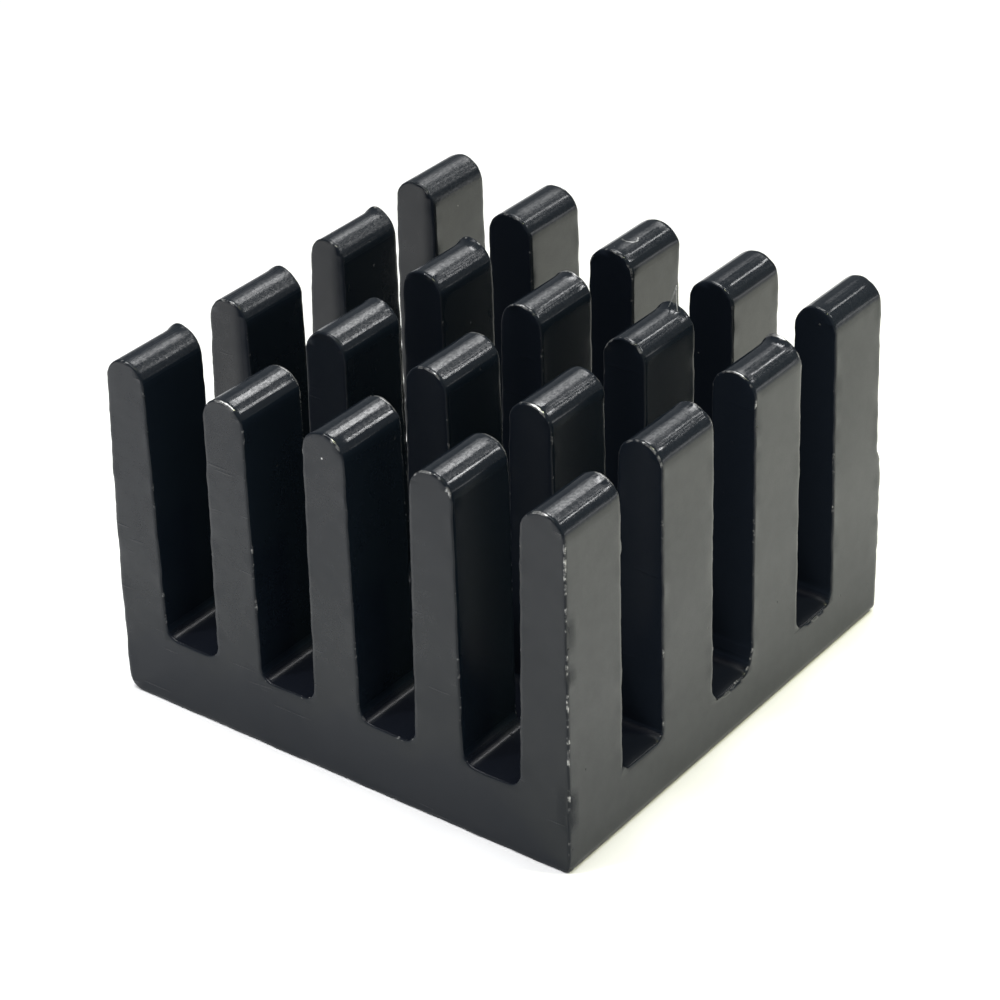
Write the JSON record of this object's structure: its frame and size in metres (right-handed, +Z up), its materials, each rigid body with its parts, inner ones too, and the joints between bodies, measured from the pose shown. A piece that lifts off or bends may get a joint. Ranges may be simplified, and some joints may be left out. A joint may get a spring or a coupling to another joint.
{
  "type": "chip heat sink",
  "caption": "Black anodised aluminium heat sink for a chip: upright pins with round tops on a flat square base.",
  "frame": {"origin": "centre of the base's flat underside", "axes": "+Z up from the underside to the pin tops, X across the fins, Y along the extrusion and the round crowns"},
  "size_m": [0.014, 0.014, 0.0098],
  "materials": {
    "black_anodised": "black anodised, satin"
  },
  "bodies": {
    "root": {"heat_sink": "black_anodised"}
  },
  "joints": []
}
